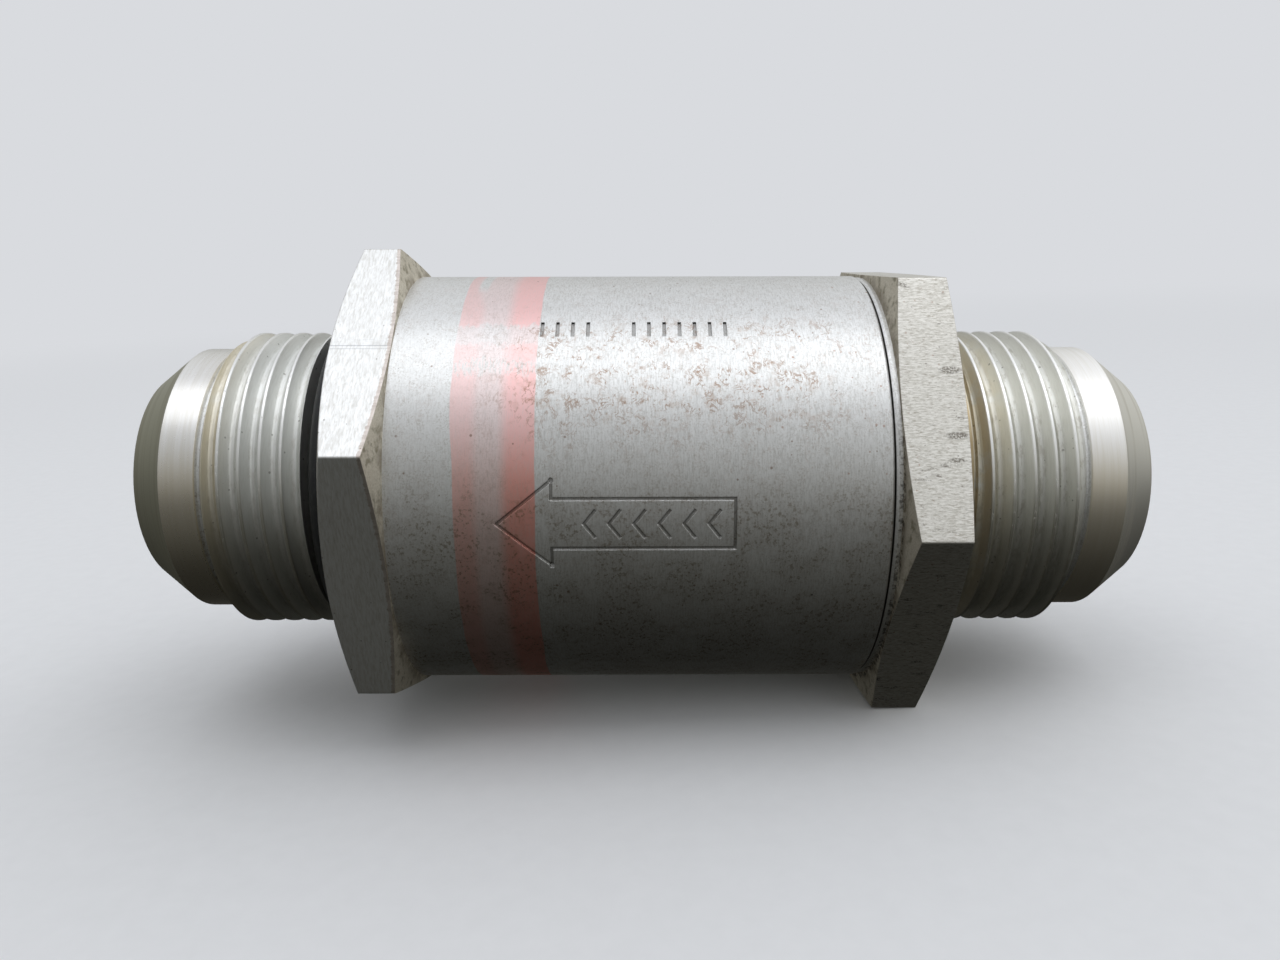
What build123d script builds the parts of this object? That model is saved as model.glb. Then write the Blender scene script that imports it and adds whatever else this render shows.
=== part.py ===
"""One-way flow control valve for a 1 inch flared tube line.

The flow axis is X. Free flow runs towards -X, from the end cap to the valve body: it pushes the poppet
off its seat against a spring. Flow towards +X closes the poppet and passes only the metering jet in its nose.
The origin is on the flow axis, half way between the two nose faces. All sizes are in millimetres.
"""

from build123d import *
import math
import os

INCH = 25.4

# Driving dimensions of the outside.
HALF_LENGTH = 53.55  # origin to either nose face
FITTING_LENGTH = 0.911 * INCH  # hex face to nose face of a -16 flared tube end
HEX_FLATS = 1.8125 * INCH
HEX_CORNER_ROUND = 0.25
BODY_RADIUS = 0.900 * INCH
BODY_END_X = 23.5  # right end of the barrel, where the cap's collar meets it
SEAM_GAP = 0.08
HEX_FACE_X = HALF_LENGTH - FITTING_LENGTH
BODY_HEX_TURN = 17.0  # degrees from the cap's hex, which has two flats level

# The flared tube end: 1 5/16-12 thread, plain land, 37 degree cone.
PORT_BORE_R = 0.844 * INCH / 2
THREAD_MAJOR_R = 1.3125 * INCH / 2
THREAD_PITCH = INCH / 12
THREAD_DEPTH = 1.22
# A groove's rise over its root in thread depths, with its half width there in pitches.
GROOVE_SHAPE = ((0.0, 0.06), (0.08, 0.14), (0.26, 0.22), (1.05, 0.455))
RELIEF_R = 15.05
RELIEF_END_X = 33.7
THREAD_END_X = 45.25
THREAD_START_X = 32.4  # where the first groove crosses the -Z side
LAND_R = 14.86
LAND_START_X = 45.6
LAND_END_X = 49.3
CONE_ANGLE = 37.0
NOSE_CHAMFER = 0.4

# The joint between the cap and the body.
JOINT_THREAD_R = 1.5625 * INCH / 2
JOINT_PITCH = INCH / 16
JOINT_DEPTH = 0.9
JOINT_CLEARANCE = 0.05
SEAL_BORE_R = 20.6
SEAL_BORE_X = 19.2
CAP_TIP_X = 8.2
CAP_TIP_R = 17.3
CAP_BORE_R = 14.5
CAP_SEAL_R = 18.9  # floor of the seal groove

# The stack inside the body, from the shoulder to the cap's tip.
CHAMBER_R = 17.5
CHAMBER_X = -25.8
CHAMBER_END_X = 8.6
SLIP = 0.05  # radial clearance of a fixed piece in its bore
WASHER_T = 0.5
GUIDE_END_X = 4.7
GUIDE_BORE_R = 13.0
FLOW_CHAMBER_R = 15.9
FLOW_CHAMBER_X = -8.5
GUIDE_FLANGE_R = 9.2
GUIDE_FLANGE_T = 1.5
SEAT_BORE_R = 10.0
SEAT_CHAMFER = 0.75
SEAT_SEAL_R = 16.1  # floor of the seal groove
SEAT_SEAL_X = (5.25, 7.6)

# The poppet, closed.
RUNNING = 0.04  # radial clearance of the poppet in its guide
SEAT_GAP = 0.02  # between the poppet's cone and the seat's chamfer
LIFT = 4.0
POPPET_BORE_R = 10.4
POPPET_NECK_R = 12.2
POPPET_NECK_X = -4.2
POPPET_WALL_X = 2.0
NOSE_FACE_R = 7.0
BOSS_R = 7.6
BOSS_X = -2.6
SIDE_PORT_R = 2.3
SIDE_PORT_X = -1.0
SIDE_PORTS = 6

# The metering jet and its screens.
JET_R = 3.0
JET_X = (0.0, 6.4)
ORIFICE_R = 0.55
SCREEN_BORE_R = 4.6
SCREEN_T = 0.5
SCREEN_RING_T = 0.7
SCREEN_HOLE_R = 0.28
SCREEN_HOLE_PITCH = 0.95
SCREEN_RINGS_OF_HOLES = 3

# The spring and what it stands on.
SPRING_SEAT_T = 1.4
SPRING_SEAT_RIM = 2.0
SPRING_SEAT_HOLE_R = 8.4
SHIM_T = 0.3
SHIMS = 2
THRUST_T = 0.6
WIRE_R = 0.7
COIL_R = 9.3  # to the middle of the wire
SPRING_TURNS = 8

# Marks cut in the barrel.
MARK_DEPTH = 0.15
MARK_WIDTH = 0.29
ARROW_TURN = 1.9  # degrees up from the -Y side
ARROW_TIP_X, ARROW_NECK_X, ARROW_TAIL_X = -13.8, -8.65, 8.6
ARROW_HALF_HEAD, ARROW_HALF_SHAFT = 4.1, 2.38
CHEVRONS = 6
CHEVRON_FIRST_X, CHEVRON_STEP = -5.6, 2.35
CHEVRON_RUN, CHEVRON_RISE = 1.0, 1.25
HEAD_PIT_R = 0.25
STAMP_TURN = 52.5
STAMP_FIRST_X, STAMP_STEP = -9.9, 1.5
STAMP_PLACES = (0, 1, 2, 3, 6, 7, 8, 9, 10, 11, 12)
STAMP_HEIGHT, STAMP_WIDTH = 1.7, 0.34

CONE_RUN = HALF_LENGTH - LAND_END_X
NOSE_R = LAND_R - CONE_RUN * math.tan(math.radians(CONE_ANGLE))
HEX_CORNER_R = HEX_FLATS / 2 / math.cos(math.radians(30))
CHAMBER_TO_PORT_R = 13.3
GUIDE_X = CHAMBER_X + WASHER_T
SPRING_SEAT_X = GUIDE_X + GUIDE_FLANGE_T
STOP_X = SPRING_SEAT_X + SPRING_SEAT_T + SPRING_SEAT_RIM
SHIM_X = SPRING_SEAT_X + SPRING_SEAT_T
SPRING_X = (SHIM_X + SHIMS * SHIM_T, POPPET_WALL_X - THRUST_T)
SKIRT_X = STOP_X + LIFT
SKIRT_R = GUIDE_BORE_R - RUNNING
# The seat's chamfer is the 45 degree line where x + r has this value.
SEAT_LINE = GUIDE_END_X + SEAT_BORE_R + SEAT_CHAMFER
POPPET_LINE = SEAT_LINE - SEAT_GAP * math.sqrt(2)


def turned(*points):
    """The solid that a closed outline of (x, r) points sweeps about the flow axis. Its seam lies underneath."""
    outline = Polyline(*points, close=True)
    return Rot(-90, 0, 0) * revolve(make_face(outline), axis=Axis.X)


def ring(x0, x1, inner_r, outer_r):
    """A flat ring about the flow axis."""
    return turned((x0, inner_r), (x0, outer_r), (x1, outer_r), (x1, inner_r))


def o_ring(x, mid_r, section_r):
    """A torus about the flow axis."""
    return Pos(x, 0, 0) * Rot(0, 90, 0) * Torus(mid_r, section_r)


def groove_turn(root_r, depth, pitch):
    """One right-hand turn of a thread groove about Z, round at the root and a little proud of the crest."""
    lower = [Vector(root_r + rise * depth, 0, -half * pitch) for rise, half in GROOVE_SHAPE]
    upper = [Vector(root_r + rise * depth, 0, half * pitch) for rise, half in reversed(GROOVE_SHAPE)]
    profile = Face(Wire.make_polygon(lower + upper, close=True))
    return sweep(profile, path=Helix(pitch=pitch, height=pitch, radius=root_r), is_frenet=True)


def threaded(blank, major_r, depth, pitch, start_x, end_x):
    """The blank with a right-hand external thread cut in it, one turn at a time."""
    turn = groove_turn(major_r - depth, depth, pitch)
    before = blank.volume
    for number in range(math.ceil((end_x - start_x) / pitch)):
        place = Pos(start_x + number * pitch, 0, 0) * Rot(0, 90, 0)
        blank = blank - place * turn
    if before - blank.volume < 0.2 * math.pi * major_r * depth * (end_x - start_x):
        raise ValueError("the thread was not cut")
    return blank


def flared_end():
    """The flared tube end on the +X side, solid, from inside the hex to the nose."""
    inside_x = HEX_FACE_X - 1.0
    blank = turned(
        (inside_x, 0),
        (inside_x, RELIEF_R),
        (RELIEF_END_X, RELIEF_R),
        (RELIEF_END_X + 0.7, THREAD_MAJOR_R),
        (THREAD_END_X - 1.15, THREAD_MAJOR_R),
        (THREAD_END_X, LAND_R - 0.35),
        (LAND_START_X - 0.1, LAND_R - 0.35),
        (LAND_START_X + 0.15, LAND_R),
        (LAND_END_X, LAND_R),
        (HALF_LENGTH - 0.15, NOSE_R + 0.11),
        (HALF_LENGTH, NOSE_R - 0.2),
        (HALF_LENGTH, 0),
    )
    return threaded(blank, THREAD_MAJOR_R, THREAD_DEPTH, THREAD_PITCH, THREAD_START_X, LAND_START_X + 0.6)


def hexagon_bar(x0, x1, turn):
    """A hexagonal bar along X. At turn 0 two flats are level and two corners point to -Y and +Y."""
    corners = RegularPolygon(HEX_CORNER_R, 6)
    outline = fillet(corners.vertices(), HEX_CORNER_ROUND)
    bar = extrude(outline, x1 - x0)
    return Rot(-turn, 0, 0) * Pos(x0, 0, 0) * Rot(0, 90, 0) * Rot(0, 0, 90) * bar


def port_bore(inner_x):
    """The round way through the +X nose, down to inner_x, with the nose's inner edge broken."""
    return turned(
        (inner_x, 0),
        (inner_x, PORT_BORE_R),
        (HALF_LENGTH - NOSE_CHAMFER, PORT_BORE_R),
        (HALF_LENGTH + 0.1, PORT_BORE_R + NOSE_CHAMFER + 0.1),
        (HALF_LENGTH + 0.1, 0),
    )


def body_hexagon():
    """The wrench hexagon of the body, with 20 degrees outside and 14 degrees towards the barrel."""
    outer_rise, barrel_rise = 1.36, 0.96
    limits = turned(
        (-HEX_FACE_X, 0),
        (-HEX_FACE_X, BODY_RADIUS),
        (-HEX_FACE_X + outer_rise, HEX_CORNER_R),
        (-HEX_FACE_X + outer_rise, HEX_CORNER_R + 1),
        (-24.35 - barrel_rise, HEX_CORNER_R + 1),
        (-24.35 - barrel_rise, HEX_CORNER_R),
        (-24.35, BODY_RADIUS),
        (-24.35, 0),
    )
    return hexagon_bar(-HEX_FACE_X, -24.35, BODY_HEX_TURN) & limits


def bar_mark(x0, v0, x1, v1, width=MARK_WIDTH):
    """A straight groove cutter from (x0, v0) to (x1, v1), laid over the -Y side, where v runs upwards."""
    length = math.hypot(x1 - x0, v1 - v0) + width
    tilt = math.degrees(math.atan2(v1 - v0, x1 - x0))
    bar = Box(length, 6, width)
    return Pos((x0 + x1) / 2, -BODY_RADIUS, (v0 + v1) / 2) * Rot(0, -tilt, 0) * bar


def outline_marks(points, closed=True):
    """Groove cutters along a chain of (x, v) points."""
    ends = points[1:] + points[:1] if closed else points[1:]
    return [bar_mark(*a, *b) for a, b in zip(points, ends)]


def barrel_marks():
    """The flow arrow with chevrons in it, and a row of plain stamped bars further round."""
    arrow = [
        (ARROW_TIP_X, 0),
        (ARROW_NECK_X, ARROW_HALF_HEAD),
        (ARROW_NECK_X, ARROW_HALF_SHAFT),
        (ARROW_TAIL_X, ARROW_HALF_SHAFT),
        (ARROW_TAIL_X, -ARROW_HALF_SHAFT),
        (ARROW_NECK_X, -ARROW_HALF_SHAFT),
        (ARROW_NECK_X, -ARROW_HALF_HEAD),
    ]
    cuts = outline_marks(arrow)
    for number in range(CHEVRONS):
        tip_x = CHEVRON_FIRST_X + number * CHEVRON_STEP
        back_x = tip_x + CHEVRON_RUN
        chevron = [(back_x, CHEVRON_RISE), (tip_x, 0), (back_x, -CHEVRON_RISE)]
        cuts += outline_marks(chevron, closed=False)
    turned_cuts = [Rot(-ARROW_TURN, 0, 0) * cut for cut in cuts]
    for place in STAMP_PLACES:
        x = STAMP_FIRST_X + place * STAMP_STEP
        stamp = bar_mark(x, -STAMP_HEIGHT / 2, x, STAMP_HEIGHT / 2, STAMP_WIDTH)
        turned_cuts.append(Rot(-STAMP_TURN, 0, 0) * stamp)
    skin = ring(-20, 20, BODY_RADIUS - MARK_DEPTH, BODY_RADIUS + 2)
    shallow = [cut & skin for cut in turned_cuts]
    deep_skin = ring(-20, 20, BODY_RADIUS - 2 * MARK_DEPTH, BODY_RADIUS + 2)
    drill = Pos(ARROW_NECK_X, -BODY_RADIUS, 0) * Rot(90, 0, 0) * Cylinder(HEAD_PIT_R, 6)
    pits = [Rot(-ARROW_TURN, 0, 0) * Pos(0, 0, v) * drill for v in (-ARROW_HALF_HEAD, ARROW_HALF_HEAD)]
    return shallow + [pit & deep_skin for pit in pits]


def valve_body():
    """Barrel, hexagon and left-hand port, turned and milled from one bar."""
    barrel = turned(
        (-26, 0),
        (-26, BODY_RADIUS),
        (BODY_END_X - 0.22, BODY_RADIUS),
        (BODY_END_X, BODY_RADIUS - 0.25),
        (BODY_END_X, 0),
    )
    solid = barrel + body_hexagon() + Rot(0, 0, 180) * flared_end()
    solid -= Rot(0, 0, 180) * port_bore(-CHAMBER_X)
    port_cone = PORT_BORE_R - CHAMBER_TO_PORT_R
    inside = turned(
        (CHAMBER_X + port_cone, 0),
        (CHAMBER_X + port_cone, PORT_BORE_R),
        (CHAMBER_X, CHAMBER_TO_PORT_R),
        (CHAMBER_X, CHAMBER_R),
        (CHAMBER_END_X, CHAMBER_R),
        (CHAMBER_END_X + 0.9, JOINT_THREAD_R),
        (SEAL_BORE_X - 0.4, JOINT_THREAD_R),
        (SEAL_BORE_X, SEAL_BORE_R),
        (BODY_END_X - 0.4, SEAL_BORE_R),
        (BODY_END_X + 0.1, SEAL_BORE_R + 0.5),
        (BODY_END_X + 0.1, 0),
    )
    solid -= inside
    for cut in barrel_marks():
        solid -= cut
    return solid


def end_cap():
    """Right-hand port, hexagon and the threaded spigot that closes the body."""
    collar_end_x, inner_rise, outer_rise = 24.25, 0.76, 0.66
    limits = turned(
        (collar_end_x, 0),
        (collar_end_x, BODY_RADIUS),
        (collar_end_x + inner_rise, HEX_CORNER_R),
        (collar_end_x + inner_rise, HEX_CORNER_R + 1),
        (HEX_FACE_X - outer_rise, HEX_CORNER_R + 1),
        (HEX_FACE_X - outer_rise, HEX_CORNER_R),
        (HEX_FACE_X, BODY_RADIUS),
        (HEX_FACE_X, 0),
    )
    wrench = hexagon_bar(collar_end_x, HEX_FACE_X, 0) & limits
    collar_x = BODY_END_X + SEAM_GAP
    collar = turned(
        (collar_x, 0),
        (collar_x, BODY_RADIUS - 0.38),
        (collar_x + 0.08, BODY_RADIUS - 0.28),
        (collar_x + 0.34, BODY_RADIUS - 0.15),
        (collar_end_x + 0.2, BODY_RADIUS - 0.15),
        (collar_end_x + 0.2, 0),
    )
    thread_r = JOINT_THREAD_R - JOINT_CLEARANCE
    spigot = turned(
        (CAP_TIP_X, 0),
        (CAP_TIP_X, CAP_TIP_R - 0.3),
        (CAP_TIP_X + 0.3, CAP_TIP_R),
        (CAP_TIP_X + 0.9, CAP_TIP_R),
        (CAP_TIP_X + 2.6, thread_r),
        (17.4, thread_r),
        (18.0, thread_r - JOINT_DEPTH - 0.1),
        (18.8, thread_r - JOINT_DEPTH - 0.1),
        (19.5, SEAL_BORE_R - SLIP),
        (collar_x + 0.2, SEAL_BORE_R - SLIP),
        (collar_x + 0.2, 0),
    )
    spigot = threaded(spigot, thread_r, JOINT_DEPTH, JOINT_PITCH, CAP_TIP_X, 17.6)
    spigot -= ring(19.8, 22.9, CAP_SEAL_R, SEAL_BORE_R + 1)
    solid = spigot + collar + wrench + flared_end()
    cone = CAP_BORE_R - PORT_BORE_R
    solid -= port_bore(collar_end_x)
    solid -= turned(
        (CAP_TIP_X - 0.1, 0),
        (CAP_TIP_X - 0.1, CAP_BORE_R),
        (19.0, CAP_BORE_R),
        (19.0 + cone, PORT_BORE_R),
        (collar_end_x + 0.1, PORT_BORE_R),
        (collar_end_x + 0.1, 0),
    )
    return solid


def poppet_guide():
    """Steel sleeve that guides the poppet. Its left flange carries the spring seat."""
    outer_r = CHAMBER_R - SLIP
    return turned(
        (GUIDE_X, GUIDE_FLANGE_R),
        (GUIDE_X, outer_r - 0.4),
        (GUIDE_X + 0.4, outer_r),
        (GUIDE_END_X, outer_r),
        (GUIDE_END_X, FLOW_CHAMBER_R),
        (FLOW_CHAMBER_X + 1.4, FLOW_CHAMBER_R),
        (FLOW_CHAMBER_X, GUIDE_BORE_R + 0.3),
        (FLOW_CHAMBER_X - 0.3, GUIDE_BORE_R),
        (SPRING_SEAT_X, GUIDE_BORE_R),
        (SPRING_SEAT_X, GUIDE_FLANGE_R),
    )


def seat_ring():
    """Hardened ring with the 45 degree seat, sealed in the body by a ring in its outer groove."""
    outer_r = CHAMBER_R - SLIP
    blank = turned(
        (GUIDE_END_X, SEAT_BORE_R + SEAT_CHAMFER),
        (GUIDE_END_X, outer_r - 0.25),
        (GUIDE_END_X + 0.25, outer_r),
        (CAP_TIP_X - 0.25, outer_r),
        (CAP_TIP_X, outer_r - 0.25),
        (CAP_TIP_X, SEAT_BORE_R + 0.6),
        (CAP_TIP_X - 0.6, SEAT_BORE_R),
        (GUIDE_END_X + SEAT_CHAMFER, SEAT_BORE_R),
    )
    return blank - ring(*SEAT_SEAL_X, SEAT_SEAL_R, CHAMBER_R + 1)


def poppet():
    """Hollow poppet: skirt, neck with side ports, 45 degree nose and an inner boss that holds the jet."""
    nose_x = POPPET_LINE - NOSE_FACE_R
    blank = turned(
        (SKIRT_X, POPPET_BORE_R + 0.4),
        (SKIRT_X, SKIRT_R - 0.4),
        (SKIRT_X + 0.4, SKIRT_R),
        (POPPET_NECK_X - 0.8, SKIRT_R),
        (POPPET_NECK_X, POPPET_NECK_R),
        (POPPET_LINE - POPPET_NECK_R, POPPET_NECK_R),
        (nose_x, NOSE_FACE_R),
        (nose_x, SCREEN_BORE_R),
        (JET_X[1], SCREEN_BORE_R),
        (JET_X[1], JET_R),
        (JET_X[0], JET_R),
        (JET_X[0], SCREEN_BORE_R),
        (BOSS_X, SCREEN_BORE_R),
        (BOSS_X, BOSS_R - 0.5),
        (BOSS_X + 0.5, BOSS_R),
        (POPPET_WALL_X, BOSS_R),
        (POPPET_WALL_X, POPPET_BORE_R),
        (SKIRT_X + 0.4, POPPET_BORE_R),
    )
    drill = Pos(0, 0, POPPET_BORE_R + 1) * Cylinder(SIDE_PORT_R, 6)
    for number in range(SIDE_PORTS):
        turn = (number + 0.5) * 360 / SIDE_PORTS
        blank -= Pos(SIDE_PORT_X, 0, 0) * Rot(turn, 0, 0) * drill
    return blank


def metering_jet():
    """Plug with the metering orifice, countersunk both ends, and a screwdriver slot."""
    gap, mouth = 0.1, 1.7
    x0, x1 = JET_X[0] + gap, JET_X[1] - gap
    blank = turned(
        (x0, mouth),
        (x0, JET_R - SLIP),
        (x1, JET_R - SLIP),
        (x1, mouth),
        (x1 - (mouth - ORIFICE_R), ORIFICE_R),
        (x0 + (mouth - ORIFICE_R), ORIFICE_R),
    )
    return blank - Pos(x1, 0, 0) * Box(1.6, 2 * JET_R + 1, 0.8)


def jet_screen(x0):
    """Thin disc with a hexagonal field of fine holes."""
    disc = ring(x0, x0 + SCREEN_T, 0.0, SCREEN_BORE_R - SLIP)
    hole = Pos(x0, 0, 0) * Rot(0, 90, 0) * Cylinder(SCREEN_HOLE_R, 4 * SCREEN_T)
    field = range(-SCREEN_RINGS_OF_HOLES, SCREEN_RINGS_OF_HOLES + 1)
    for i in field:
        for j in field:
            if abs(i + j) <= SCREEN_RINGS_OF_HOLES:
                y = SCREEN_HOLE_PITCH * (i + j / 2)
                z = SCREEN_HOLE_PITCH * j * math.sqrt(3) / 2
                disc -= Pos(0, y, z) * hole
    return disc


def spring_seat():
    """Flanged ring that carries the spring. Its rim stops the poppet at full lift."""
    outer_r, rim_r = GUIDE_BORE_R - SLIP, GUIDE_BORE_R - 2.1
    return turned(
        (SPRING_SEAT_X, SPRING_SEAT_HOLE_R),
        (SPRING_SEAT_X, outer_r),
        (STOP_X - 0.3, outer_r),
        (STOP_X, outer_r - 0.3),
        (STOP_X, rim_r),
        (SHIM_X, rim_r),
        (SHIM_X, SPRING_SEAT_HOLE_R),
    )


def spring_shims():
    """Thin shims that set the cracking pressure, one on the other."""
    shims = [
        ring(SHIM_X + n * SHIM_T, SHIM_X + (n + 1) * SHIM_T, SPRING_SEAT_HOLE_R + 0.1, 10.7)
        for n in range(SHIMS)
    ]
    return Compound(shims)


def poppet_spring():
    """Compression spring at its closed length, as one even helix of round wire."""
    rise = SPRING_X[1] - SPRING_X[0] - 2 * WIRE_R
    path = Helix(pitch=rise / SPRING_TURNS, height=rise, radius=COIL_R)
    start = Plane(origin=path @ 0, z_dir=path % 0)
    wire = sweep(start * Circle(WIRE_R), path=path, is_frenet=True)
    return Pos(SPRING_X[0] + WIRE_R, 0, 0) * Rot(0, 90, 0) * wire


def write(name, shape):
    """Writes one node's STEP file."""
    export_step(shape, f"parts/{name}.step")
    print(name, round(shape.volume), len(shape.solids()), shape.is_valid)


def main():
    os.makedirs("parts", exist_ok=True)
    screen_front_x = JET_X[1] + SLIP
    screen_rear_x = JET_X[0] - SLIP - SCREEN_T
    ring_front_x = screen_front_x + SCREEN_T + SLIP
    ring_rear_x = screen_rear_x - SLIP - SCREEN_RING_T
    screen_ring_r = SCREEN_BORE_R - 0.02
    seat_ring_r = 0.5 * (CHAMBER_R + SEAT_SEAL_R)
    seat_section = 0.5 * (CHAMBER_R - SEAT_SEAL_R) - 0.02
    cap_ring_r = 0.5 * (SEAL_BORE_R + CAP_SEAL_R)
    cap_section = 0.5 * (SEAL_BORE_R - CAP_SEAL_R) - 0.02
    write("valve_body", valve_body())
    write("end_cap", end_cap())
    write("port_o_ring", o_ring(-(HEX_FACE_X + 1.47), RELIEF_R + 1.47, 1.45))
    write("cap_o_ring", o_ring(20.75, cap_ring_r, cap_section))
    write("cap_backup_ring", ring(21.65, 22.85, CAP_SEAL_R + 0.02, SEAL_BORE_R - 0.02))
    write("preload_washer", ring(CHAMBER_X, GUIDE_X, 14.0, CHAMBER_R - 0.2))
    write("poppet_guide", poppet_guide())
    write("seat_ring", seat_ring())
    write("seat_o_ring", o_ring(SEAT_SEAL_X[0] + 0.75, seat_ring_r, seat_section))
    write("seat_backup_ring", ring(6.78, 7.55, SEAT_SEAL_R + 0.02, CHAMBER_R - 0.02))
    write("spring_seat", spring_seat())
    write("spring_shims", spring_shims())
    write("poppet_spring", poppet_spring())
    write("spring_thrust_washer", ring(SPRING_X[1], POPPET_WALL_X, 8.3, POPPET_BORE_R - 0.1))
    write("poppet", poppet())
    write("metering_jet", metering_jet())
    write("jet_screen_front", jet_screen(screen_front_x))
    write("jet_screen_rear", jet_screen(screen_rear_x))
    write("screen_ring_front", ring(ring_front_x, ring_front_x + SCREEN_RING_T, 3.6, screen_ring_r))
    write("screen_ring_rear", ring(ring_rear_x, ring_rear_x + SCREEN_RING_T, 3.6, screen_ring_r))


main()
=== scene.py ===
"""One-way flow control valve for a 1 inch flared tube line: looks, camera and studio.

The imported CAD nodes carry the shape. This script gives every node a procedural material, draws the spring
anew with closed and ground ends, and sets up a plain studio. Material coordinates are millimetres in the
row frame.
"""

import math

import bmesh
import bpy
from mathutils import Matrix, Vector


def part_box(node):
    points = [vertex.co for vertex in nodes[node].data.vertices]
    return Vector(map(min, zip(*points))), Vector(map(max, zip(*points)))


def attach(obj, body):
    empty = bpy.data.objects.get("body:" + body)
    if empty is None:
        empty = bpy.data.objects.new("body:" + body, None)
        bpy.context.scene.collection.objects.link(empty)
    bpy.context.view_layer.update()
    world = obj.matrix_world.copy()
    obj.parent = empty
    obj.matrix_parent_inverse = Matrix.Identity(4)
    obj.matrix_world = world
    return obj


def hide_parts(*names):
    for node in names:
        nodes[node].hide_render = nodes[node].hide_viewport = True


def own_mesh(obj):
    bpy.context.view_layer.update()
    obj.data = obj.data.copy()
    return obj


MM = 0.001

# Camera: where it stands, in millimetres and degrees from the flow axis, and where it looks.
CAMERA_X = -0.475
CAMERA_DISTANCE = 110.2
CAMERA_ELEVATION = 13.3
CAMERA_DOWN = 0.26
CAMERA_RIGHT = 0.10
CAMERA_ROLL = -0.12
CAMERA_LENS = 26.4

# The dome: its brightness from straight down (0) to straight up (1), and its blue and red at both ends.
DOME_LEVELS = (
    (0, 0.01),
    (0.1, 0.03),
    (0.25, 0.07),
    (0.45, 0.125),
    (0.62, 0.30),
    (0.8, 0.48),
    (0.93, 0.7),
    (1, 0.85),
)
DOME_BLUE = (0.85, 1.05)
DOME_RED = (1.01, 0.98)

# The soft box: its size and distance in metres.
LAMP_LONG, LAMP_DEEP = 0.9, 0.46
LAMP_DISTANCE = 0.7
LAMP_ELEVATION = 78.2
LAMP_WATTS = 0.95
LAMP_COLOR = (0.985, 1.0, 1.015)

# The floor passes just under the lowest edge of each hexagon, at these X and Z.
FLOOR_LEFT = (-25.3 * MM, -25.90 * MM)
FLOOR_RIGHT = (29.9 * MM, -23.02 * MM)
# Its outline: metres out from the middle, metres up.
FLOOR_OUTLINE = ((0.2, 0), (1.1, 0), (1.5, 0.03), (1.8, 0.14), (2.05, 0.36), (2.2, 0.7), (2.25, 2.6))
FLOOR_GLOW = (217, 219, 223)

# Dimensions that the finishes follow, in millimetres: radii, and distances from the middle towards a nose.
BARREL_R = 22.86
MARKED_X = 20  # the arrow and the bars lie within this distance
HEX_IN, HEX_MIDDLE, HEX_OUT = 24.35, 27.4, 30.41
THREAD_IN, THREAD_OUT = 33.7, 45.4
THREAD_R = 16.67
OUTSIDE_R = 14.7  # between the bore and all that is outside
HUB_R = 16.0  # the hexagons' faces lie outside it, the reliefs inside
ENGRAVED_R = 22.4  # deeper than the engraved lines
LAND_OUT = 49.3
BORE_R = 10.72
BURR_SLOPE = 0.258  # how far the body's barrel-side chamfer runs along X for each millimetre outwards

# Places in the row frame.
SEAM_X = 23.54
BAND_LEFT, BAND_RIGHT = -18.15, -10.2
BODY_FLAT, CAP_FLAT = 47, 30  # how far round from the front the upper front flats look, in degrees
# Smears of dirt on the cap's upper front flat: X, how far up the flat, half length, half height.
CAP_SMEARS = ((29.1, 3.5, 1.1, 0.45), (29.2, -3.1, 1.2, 0.4), (29.0, -5.5, 0.9, 0.25))

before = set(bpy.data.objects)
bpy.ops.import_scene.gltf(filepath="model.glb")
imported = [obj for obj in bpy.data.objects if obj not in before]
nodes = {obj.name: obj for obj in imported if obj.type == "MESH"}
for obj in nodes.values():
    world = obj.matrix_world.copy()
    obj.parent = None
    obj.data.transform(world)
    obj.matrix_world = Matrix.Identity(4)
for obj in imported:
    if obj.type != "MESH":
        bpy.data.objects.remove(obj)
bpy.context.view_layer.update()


def srgb(red, green, blue):
    """A colour given as 0 to 255 display values, as linear RGBA."""
    linear = []
    for value in (red, green, blue):
        c = value / 255
        linear.append(c / 12.92 if c <= 0.04045 else ((c + 0.055) / 1.055) ** 2.4)
    return (*linear, 1.0)


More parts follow.
